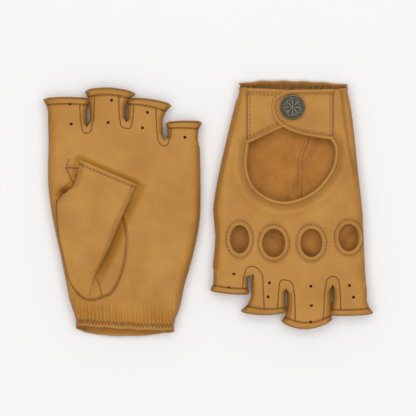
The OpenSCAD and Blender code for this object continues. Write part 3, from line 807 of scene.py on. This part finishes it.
def face_point(shape, s, v, palm):
    """Points on a finger's palm or back face, s across it from -1 to 1."""
    s, v = np.broadcast_arrays(np.atleast_1d(np.asarray(s, float)), np.atleast_1d(np.asarray(v, float)))
    ring = np.stack([s, np.full(len(s), 1.0 if palm else -1.0)], -1)
    one = np.arange(len(s))
    return shape(ring, v, 0.03)[one, one]


def make_forks(g, shapes):
    """The fourchettes: side strips between the fingers, sewn in by a U-shaped seam round each
    slit on the palm and on the back."""
    turn = np.linspace(np.pi, 2 * np.pi, 25)
    v = np.linspace(0.0, 0.95, 18)
    for j, (cx, _) in enumerate(g.slits):
        half = g.spread[j]
        for palm in (True, False):
            parts = []
            for tag, (shape, bend), sign in (("left", shapes[j], -1), ("right", shapes[j + 1], 1)):
                low, high = (shape(np.array([[end, 0.0]]), v)[:, 0, 0] for end in (-1.0, 1.0))
                share = 2 * (cx + sign * (half + 1.3 * v) - low) / (high - low) - 1
                parts.append((tag, face_point(shape, share, v, palm), bend))
            x = cx + half * np.cos(turn)
            loop = np.column_stack([x, g.crotch(x) + g.dip * np.sin(turn)])
            parts.append(("crotch", on_palm(g, loop) if palm else on_back(g, loop), None))
            where, up = ("palm", (0, 0, 1)) if palm else ("back", (0, 0, -1))
            for tag, line, bend in parts:
                seam_line(g, f"{FINGERS[j]}_fork_{where}_{tag}_seam", even(line, 0.9), 0.4, up,
                          turn_ends=bend)


def make_vents(g, shapes):
    """Punched breathing holes, 1.7 mm across: a dark floor within a slightly raised lip. Each is
    given as its finger, its place across it from -1 to 1, and its share of the way up."""
    palm = ((0, 0.22, 0.16), (0, 0.16, 0.86), (1, 0.08, 0.08), (1, 0.2, 0.72), (2, -0.12, 0.1),
            (2, 0.12, 0.66), (3, 0.14, 0.3))
    back = ((0, 0.02, 0.08), (0, -0.18, 0.46), (1, -0.06, 0.02), (1, -0.08, 0.48), (1, -0.1, 0.88),
            (2, 0.02, 0.08), (2, 0.02, 0.5), (3, -0.06, 0.1), (3, 0.1, 0.82))
    a = np.linspace(0, 2 * np.pi, 20, endpoint=False)
    r = np.array([1.15, 1.0, 0.86, 0.8, 0.4, 0.0])[:, None]
    rise = np.array([-0.12, 0.1, 0.06, 0.02, 0.0, 0.0])[:, None]
    for where, spots in (("palm", palm), ("back", back)):
        for i, (k, s, v) in enumerate(spots):
            shape, bend = shapes[k]
            x, y, z = face_point(shape, s, v, where == "palm")[0]
            points = np.stack([x + r * np.cos(a), y + r * np.sin(a),
                               z + (rise if where == "palm" else -rise) + 0 * a], -1)
            piece(g.side, f"vent_{where}_{i}", points.reshape(-1, 3), quads(6, 20, closed=True),
                  PIERCED, turn_ends=bend)


def make_thumb(g):
    """The folded thumb: a flat tube from its sewn heel to its cut end, its left edge sewn to the
    palm, its right edge a rounded fold standing over the palm."""
    ring = square_ring(40, 10)
    v = np.linspace(0, 1, 90)
    rows = v[:, None]

    def edge(line, t):
        run = np.linspace(0, 1, len(line))
        return np.stack([np.interp(t, run, line[:, 0]), np.interp(t, run, line[:, 1])], -1)

    left, right = edge(THUMB_LEFT, v)[:, None], edge(THUMB_RIGHT, v)[:, None]

    def shape(ring, rows, left, right, lift=0.0):
        px, pz = ring[None, :, 0], ring[None, :, 1]
        size = (np.abs(px) ** 4 + np.abs(pz) ** 4).clip(1e-9) ** -0.25
        loose = smooth((rows - 0.79) / 0.05)
        soft = np.where(px > 0, 1.0, loose)
        qx, qz = px + (px * size - px) * soft, pz + (pz * size - pz) * soft
        flat = left + (right - left) * (qx[..., None] + 1) / 2
        x, y = flat[..., 0], flat[..., 1]
        low = g.palm(x, y) + 0.3
        ease = smooth(rows / 0.3)
        high = 16.1 + 1.25 * (1 - (qx * 0.9) ** 2) * ease + 0.25 * ripple(x, y, 23, g.turn + 5)
        high = np.minimum(high, THUMB_TOP) - 0.5 * bell((rows - 0.8) * 96, 6) * (qx < 0) * (1 - qx ** 2)
        high = np.maximum(high, low + 0.3)
        z = low + (high - low) * (qz + 1) / 2
        return np.stack([x + lift * qx, y, z + lift * qz], -1)

    hem = 1 - THUMB_HEM / THUMB_LONG
    lift = 0.25 * smooth((rows - hem) / 0.02) - 0.4 * bell((rows - hem) * THUMB_LONG, 0.5)
    points = shape(ring, rows, left, right, lift)
    px = ring[None, :, 0]
    # Darker at the fold edges and the hem: wear and painted shade; painted shade where the thumb meets the palm
    # at its crotch.
    wear_shade_mask = 0.30 * smooth((np.abs(px) - 0.9) / 0.1) + 0.34 * bell((rows - hem) * THUMB_LONG, 0.9)
    wear_shade_mask = wear_shade_mask + 0.45 * bell(np.hypot(points[..., 0] + 44, points[..., 1] - 11), 4.5)
    bend = ("thumb", (-44.8, -24, 16), (-44.8 + 9, -22.9, 16))
    piece(g.side, "thumb", points.reshape(-1, 3), quads(len(v), len(ring), closed=True, flip=True), TAN,
          wear_and_shade=wear_shade_mask, turn_ends=bend)
    mouth = slice(76, None)     # the lining shows only near the cut end
    lining = shape(ring, rows[mouth], left[mouth], right[mouth], -0.9)
    piece(g.side, "thumb_lining", lining.reshape(-1, 3), quads(len(v[mouth]), len(ring), closed=True),
          SUEDE, "thumb")
    last = shape(ring, np.array([[1.0]]), left[-1:], right[-1:], -0.3)[0]
    rolled(g, "thumb_rim", [last], 0.6, 0.7, (0.4, 0.9, 0), 0.12, "thumb", closed=True, around=10)
    sides = (edge(line, np.array([hem]))[:, None] for line in (THUMB_LEFT, THUMB_RIGHT))
    row = shape(ring, np.array([[hem]]), *sides)[0]
    sewn(g, "thumb_rim_stitches", [stitches_on(row, (row - row.mean(0)) * [0.2, 0.2, 4], 0.22, closed=True)],
         "thumb")


def make_thumb_seams(g):
    """The oval seam round the thumb's heel, the little seam in the gusset, and the three-cornered quirk let in
    at the crotch."""
    seam_line(g, "thumb_oval_seam", on_palm(g, OVAL[:-8]), 0.42, lift=0.1)
    gusset = curve([(-18.6, -47.5), (-16.5, -53), (-14.8, -59.8)])
    seam_line(g, "thumb_gusset_seam", on_palm(g, gusset), 0.34)
    quirk = [(-40.2, 30.3), (-31.6, 29.8), (-35, 19.4)]
    line = even(np.array(quirk + quirk[:1], float), 0.8)
    seam_line(g, "quirk_seam", on_palm(g, line), 0.4, lift=0.12)
    seam_line(g, "quirk_upper_seam", on_palm(g, curve([(-40, 30.4), (-39.2, 33.5), (-38.2, 36)])), 0.3)
    n = 14
    a, b = (q[..., None] for q in np.meshgrid(np.linspace(0, 1, n), np.linspace(0, 1, n)))
    left, right, low = np.array(quirk)
    flat = (left * (1 - a) * (1 - b) + right * a * (1 - b) + low * b).reshape(-1, 2)
    puff = 0.1 + 0.55 * np.sin(np.pi * a) * np.sin(np.pi * b)
    piece(g.side, "quirk", on_palm(g, flat, -puff.ravel()), quads(n, n, flip=True), TAN,
          wear_and_shade=np.full(n * n, 0.12), wall=0.5)


def make_cuff(g):
    """The wrist edge: a turned and rolled hem on palm and back, zigzag stitches through the
    elastic on the palm, and the webbing inside."""
    for back in (False, True):
        low, high = g.edges(-84.0)
        x = np.linspace(low + 0.4, high - 0.4, 90)
        spans = [(x[0], x[-1])] if not back else [(x[0], STRAP_SEAM + 1), (UNDER_SEAM - 1, x[-1])]
        for i, (a, b) in enumerate(spans):
            xs = np.linspace(a, b, max(6, int((b - a) / 0.8)))
            ys = g.cuff(xs, back)
            z = g.back(xs, ys) + 0.5 if back else g.palm(xs, ys) - 0.5
            rolled(g, f"cuff_{'back' if back else 'palm'}_hem_{i}", [np.column_stack([xs, ys + 0.2, z])],
                   0.75, 0.8, (0, 0, 1), 0.14)
    low, high = g.edges(-78.0)
    xs = np.arange(low + 1.2, high - 1.2, 1.1)
    up = np.arange(len(xs)) % 2
    line = g.cuff(xs, False) + 1.2 + 3.4 * up
    knots = np.column_stack([xs, line, g.palm(xs, line) + 0.05])
    sewn(g, "cuff_zigzag", [capsules(knots[:-1], knots[1:], (0, 0, 1), 0.24)])
    inner = knots - [0, 0, 1.7]
    sewn(g, "cuff_zigzag_inside", [capsules(inner[:-1], inner[1:], (0, 0, -1), THREAD)])
    across = np.linspace(low + 2, high - 2, 80)[None, :]
    rise = np.linspace(1.0, 7.4, 8)[:, None]
    y = g.cuff(across, False) + rise
    z = g.palm(across + 0 * rise, y) - LEATHER - 0.15
    web = piece(g.side, "elastic_band", np.stack(np.broadcast_arrays(across, y, z), -1).reshape(-1, 3),
                quads(8, 80), ELASTIC, wall=0.5, slot="elastic_webbing")
    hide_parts(f"{g.side}_cuff_elastic")


def make_opening(g):
    """The round opening's rolled binding, the ridge of the thumb's seam on the inside of the palm,
    and the knuckle holes' facings with their stitches."""
    line = on_back(g, OPENING_EDGE, 0.35)
    points, faces = roll_grid(line, 1.3, 1.15, (0, 0, -1))
    # The binding's outer flank, where it meets the leather beside it, is darker: painted shade.
    rib = piece(g.side, "opening_binding", points, faces, EDGE, slot="edge_leather",
                wear_and_shade=0.16 + 0.3 * bell(np.arange(len(points)) % 14, 1.5))
    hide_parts(f"{g.side}_opening_binding")
    row = on_back(g, beside(OPENING_EDGE, 1.75), 0.05)
    sewn(g, "opening_stitches", [stitches_on(row, (0, 0, -1), radius=0.2, length=1.9)])
    ridge = curve([(-11.5, -62), (-10.6, -50), (-6.2, -37), (-5.6, -20), (-5.2, -2), (-6, 14)])
    ridge = np.column_stack([ridge, g.palm(ridge[:, 0], ridge[:, 1]) - LEATHER - 0.5])
    points, faces = roll_grid(ridge, 1.15, 0.9, (0, 0, -1))
    piece(g.side, "inner_thumb_seam", points, faces, SUEDE, wear_and_shade=np.full(len(points), 0.1))
    sewn(g, "inner_thumb_seam_stitches", [stitches_on(ridge - [1.1, 0, 0.35], (0, 0, -1), radius=0.24)])
    facings, inner, outer = [], [], []
    a = np.linspace(0, 2 * np.pi, 96, endpoint=False)[::-1]
    for cx, cy, w, h in KNUCKLES:
        facing, near, far = (
            on_back(g, np.column_stack([cx + (w + grow) * np.cos(a), cy + (h + grow) * np.sin(a)]), sink)
            for grow, sink in ((1.25, 0.15), (1.5, -0.42), (3.1, -0.02)))
        facings.append(facing)
        inner.append(stitches_on(near, (0, 0, -1), 0.17, length=1.3, gap=0.6, closed=True))
        outer.append(stitches_on(far, (0, 0, -1), 0.22, length=2.0, gap=0.6, closed=True))
    ring = rolled(g, "knuckle_facings", facings, 1.35, 0.62, (0, 0, -1), 0.14, closed=True)
    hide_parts(f"{g.side}_knuckle_bindings")
    sewn(g, "knuckle_stitches", inner + outer)


def tab_height(x, seam, foot, top, low):
    """Height of a wrist tab's outside: top at its seam, easing to low at its foot and beyond."""
    return top + (low - top) * smooth((x - seam) / (foot - seam))


def lowered(g, line):
    """A tab's edge with its cuff side drawn back, then bowed out, by this glove's own amounts."""
    sag = g.bow[1] * (1 - (line[:, 0] / 32) ** 2) - g.bow[0]
    return np.column_stack([line[:, 0], line[:, 1] - sag * smooth((-78 - line[:, 1]) / 4)])


def strap_height(g, x):
    return tab_height(x, STRAP_SEAM, CAP[0] - CAP_R - 1, 2.1, CAP_BASE) + 0.05 * np.sin(x / 4 + g.turn)


def under_height(g, x):
    return tab_height(x, UNDER_SEAM, 12.5, 2.2, 4.7) + 0.05 * np.sin(x / 4 + g.turn)


def tab_sheet(g, upper, lower, height):
    """A tab between its finger-side and cuff-side edges, both given from seam to end: points run
    along the edges and straight across between them."""
    rows, columns = 50, 70
    t = np.linspace(0, 1, columns)
    top, bottom = (along(line, np.linspace(0, 1, len(line)), t) for line in (upper, lower))
    flat = bottom + (top - bottom) * np.linspace(0, 1, rows)[:, None, None]
    return np.concatenate([flat, height(g, flat[..., 0])[..., None]], -1), (rows, columns)


def make_tabs(g):
    """The two wrist tabs: the strap from the index side with its round end, and the plain tab from
    the other side that runs under it. Rolled bindings on the free edges, one row of stitches
    inside them and two at the seams."""
    free, under_low = lowered(g, STRAP_FREE), lowered(g, UNDER_LOW)
    half = len(free) // 2
    root = ("wrist_strap", (STRAP_SEAM - 0.9, -66, CAP_BASE), (STRAP_SEAM + 6.5, -66, CAP_BASE))
    under_root = ("wrist_under_tab", (UNDER_SEAM + 0.9, -66, CAP_BASE), (UNDER_SEAM - 6.5, -66, CAP_BASE))
    grid, (rows, columns) = tab_sheet(g, free[:half + 1], free[:half - 1:-1], strap_height)
    grid[:, 0, 0] -= 0.8
    x, y = grid[..., 0], grid[..., 1]
    # Darker inside the rolled edge and at the seam (wear and painted shade), and a ring of painted shade round
    # the snap cap.
    wear_shade_mask = 0.30 * bell(distance(x, y, free) - 2.4, 1.2) + 0.25 * bell(x - STRAP_SEAM, 1.6)
    wear_shade_mask = wear_shade_mask + 0.3 * bell(np.hypot(x - CAP[0], y - CAP[1]) - CAP_R, 1.4)
    strap = piece(g.side, "wrist_strap", grid.reshape(-1, 3), quads(rows, columns, flip=True), TAN,
                  wear_and_shade=wear_shade_mask, wall=LEATHER, inner=SUEDE, turn_ends=root)
    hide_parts(f"{g.side}_strap")
    line = np.column_stack([free, strap_height(g, free[:, 0]) + 0.25])
    rib = rolled(g, "strap_rolled_edge", [line], 1.25, 1.0, (0, 0, -1), 0.13, turn_ends=root)
    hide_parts(f"{g.side}_strap_binding")
    row = beside(free, -1.75)
    row = np.column_stack([row, strap_height(g, row[:, 0]) - 0.04])
    seam = np.array([(STRAP_SEAM + 0.4, y) for y in np.arange(-83, -51, 0.8)])
    seam = np.column_stack([seam, strap_height(g, seam[:, 0]) - 0.02])
    sewn(g, "strap_stitches", [stitches_on(row, (0, 0, -1), radius=0.22, length=2.0, gap=0.6),
                               stitches_on(seam + [1.3, 0, 0], (0, 0, -1), radius=0.2)], turn_ends=root)
    seam_line(g, "strap_seam", seam - [0.7, 0, 0], 0.34, (0, 0, -1))

    end = [(-3.5, -66), (-6, -72.5), (-4, -80)]
    upper = curve([tuple(p) for p in UNDER_TOP[::6]] + [end[0], end[1]])
    lower = curve([tuple(p) for p in under_low[::6]] + [end[2], end[1]])
    grid, (rows, columns) = tab_sheet(g, upper, lower, under_height)
    grid[:, 0, 0] += 0.8
    x, y = grid[..., 0], grid[..., 1]
    near = np.minimum(distance(x, y, UNDER_TOP), distance(x, y, under_low))
    # Darker inside the edges and at the seam (wear and painted shade), and a painted shadow of the strap along
    # its free edge.
    wear_shade_mask = 0.3 * bell(near - 2.4, 1.2) + 0.25 * bell(x - UNDER_SEAM, 1.6)
    wear_shade_mask = wear_shade_mask + 0.4 * bell(distance(x, y, free[18:46]), 2.6)
    under = piece(g.side, "wrist_under_tab", grid.reshape(-1, 3), quads(rows, columns), TAN,
                  wear_and_shade=wear_shade_mask, wall=LEATHER, inner=SUEDE, turn_ends=under_root)
    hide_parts(f"{g.side}_under_tab")
    ribs, rows_of = [], []
    for edge, turn in ((UNDER_TOP, -1), (under_low, 1)):
        ribs.append(np.column_stack([edge, under_height(g, edge[:, 0]) + 0.25]))
        inward = turn * unit(np.gradient(edge, axis=0)[:, ::-1] * [1, -1])
        for far in (1.9, 3.5):
            row = edge + inward * far
            rows_of.append(stitches_on(np.column_stack([row, under_height(g, row[:, 0]) - 0.04]), (0, 0, -1),
                                       radius=0.2, length=1.8, gap=0.7))
    rib = rolled(g, "under_tab_rolled_edge", ribs, 1.15, 0.95, (0, 0, -1), 0.13, turn_ends=under_root)
    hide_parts(f"{g.side}_under_tab_binding")
    seam = np.array([(UNDER_SEAM - 0.4, y) for y in np.arange(-83, -48.5, 0.8)])
    seam = np.column_stack([seam, under_height(g, seam[:, 0]) - 0.02])
    rows_of.append(stitches_on(seam - [1.3, 0, 0], (0, 0, -1), radius=0.2))
    sewn(g, "under_tab_stitches", rows_of, turn_ends=under_root)
    seam_line(g, "under_tab_seam", seam + [0.7, 0, 0], 0.34, (0, 0, -1))


def make_snap(g):
    """The snap's cap: a shallow dish in a beaded rim with a plain eight-petalled rosette, height a
    function of radius and angle. Raised work is rubbed bright."""
    r = np.concatenate([np.linspace(0.0, CAP_R - 0.9, 46), np.linspace(CAP_R - 0.8, CAP_R, 12),
                        [CAP_R + 0.02, CAP_R, CAP_R - 0.5]])
    a = np.linspace(0, 2 * np.pi, 144, endpoint=False)
    rr, aa = np.meshgrid(r, a, indexing="ij")
    q = rr / CAP_R
    rim = 0.9 * bell(q - 0.93, 0.055)
    petals = 0.42 * np.clip(np.cos(8 * aa) * 0.5 + 0.5, 0, 1) ** 0.7 * bell(q - 0.38, 0.17)
    middle = 0.4 * bell(q, 0.13)
    beads = 0.26 * np.clip(np.cos(36 * aa), 0, 1) * bell(q - 0.74, 0.05)
    ring = 0.22 * bell(q - 0.62, 0.035)
    raised = rim + petals + middle + beads + ring
    high = 1.15 + 0.35 * (1 - q ** 2) + raised
    thick = CAP_BASE - CAP[2]
    edge = np.array([thick * 0.55, thick * 0.2, 0.0])
    high = high * (thick - 0.1) / high.max()
    high[-3:] = edge[:, None]
    points = np.stack([CAP[0] + rr * np.cos(aa), CAP[1] + rr * np.sin(aa), CAP_BASE - high], -1)
    bright = np.clip(raised / 0.45, 0, 1)
    bright[-3:] = 0.2
    cap = piece(g.side, "snap_rosette_cap", points.reshape(-1, 3), quads(len(r), len(a), closed=True), GUNMETAL,
                "wrist_strap", wear_and_shade=bright.ravel(), slot="antique_metal")
    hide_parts(f"{g.side}_snap_cap")
    for part in ("snap_socket", "snap_stud", "snap_post"):
        shown = frame["nodes"][f"{g.side}_{part}"]
        shown.data.materials.clear()
        shown.data.materials.append(GUNMETAL)


def make_side_seam(g):
    """The seam down the little finger's side: a narrow rolled ridge, with stitches on the back."""
    y = np.linspace(-78, g.ends[1] - 1, 120)
    _, high = g.edges(y)
    rolled(g, "side_seam", [np.column_stack([high - 0.1, y, np.full(len(y), MID)])], 0.8, 0.7, (1, 0, 0), 0.32)
    row = on_back(g, np.column_stack([high - 2.4, y]), -0.02)
    sewn(g, "side_seam_stitches_back", [stitches_on(row, (0.5, 0, -1), radius=0.2, length=1.9)])


def make_glove(g):
    """All of one glove, and which CAD nodes its leather stands for."""
    make_palm(g)
    make_back(g)
    shapes = [make_finger(g, k) for k in range(4)]
    make_forks(g, shapes)
    make_vents(g, shapes)
    make_thumb(g)
    make_thumb_seams(g)
    make_cuff(g)
    make_opening(g)
    make_tabs(g)
    make_snap(g)
    make_side_seam(g)
    side = g.side
    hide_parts(f"{side}_palm_panel", f"{side}_cuff_hem")
    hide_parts(f"{side}_back_panel", f"{side}_crotch_fourchettes")
    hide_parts(f"{side}_thumb_stall", f"{side}_thumb_hem")
    for finger in FINGERS:
        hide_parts(f"{side}_{finger}_stall", f"{side}_{finger}_fourchette")
        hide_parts(f"{side}_{finger}_hem")


make_glove(LEFT)
make_glove(RIGHT)


# ---- floor, light and camera

def lamp(name, x, y, z, size, watts, colour="#ffffff"):
    """A soft square light of this size in metres, aimed at the middle of the pair."""
    light = bpy.data.lights.new(name, "AREA")
    light.shape = "SQUARE"
    light.size = size
    light.energy = watts
    light.color = srgb(colour)[:3]
    thing = bpy.data.objects.new(name, light)
    thing.location = (x, y, z)
    thing.rotation_euler = (math.atan2(math.hypot(x, y), z), 0, math.atan2(-x, y))
    bpy.context.scene.collection.objects.link(thing)


def make_floor():
    """White seamless paper: matt, with a faint fibre."""
    made, tree, shader, place = finish_of("white_paper", {"Roughness": 0.9, "Specular IOR Level": 0.1})
    fibre = noise(tree, place, 900.0, 2.0)
    tree.links.new(ramp(tree, fibre, (0.3, "#f3f3f3"), (0.7, "#f6f6f6")), shader.inputs["Base Color"])
    mesh = bpy.data.meshes.new("paper")
    far, low = 3.0, -0.0002
    mesh.from_pydata([(-far, -far, low), (far, -far, low), (far, far, low), (-far, far, low)], [],
                     [(0, 1, 2, 3)])
    mesh.materials.append(made)
    paper = bpy.data.objects.new("paper", mesh)
    bpy.context.scene.collection.objects.link(paper)


make_floor()
lamp("overhead_softbox", 0.0, 0.1, 1.5, 1.6, 20)
lamp("left_softbox", -1.1, 0.2, 0.9, 1.0, 5)
lamp("right_softbox", 1.1, 0.1, 0.9, 1.0, 5)

world = bpy.data.worlds.new("studio")
bpy.context.scene.world = world
world.use_nodes = True
world.node_tree.nodes["Background"].inputs[0].default_value = srgb("#ffffff")
world.node_tree.nodes["Background"].inputs[1].default_value = 0.38

bpy.context.scene.view_settings.view_transform = "Standard"

# Straight down, with the frame 291 mm wide near the gloves' upper face
VIEW_HEIGHT, VIEW_WIDTH, VIEW_LEVEL = 1.6, 0.2912, 0.013
lens = bpy.data.cameras.new("camera")
camera = bpy.data.objects.new("camera", lens)
camera.location = (0, 0.0021, VIEW_HEIGHT)
lens.sensor_width = 36
lens.lens = lens.sensor_width * (VIEW_HEIGHT - VIEW_LEVEL) / VIEW_WIDTH
lens.clip_end = 20
bpy.context.scene.collection.objects.link(camera)
bpy.context.scene.camera = camera
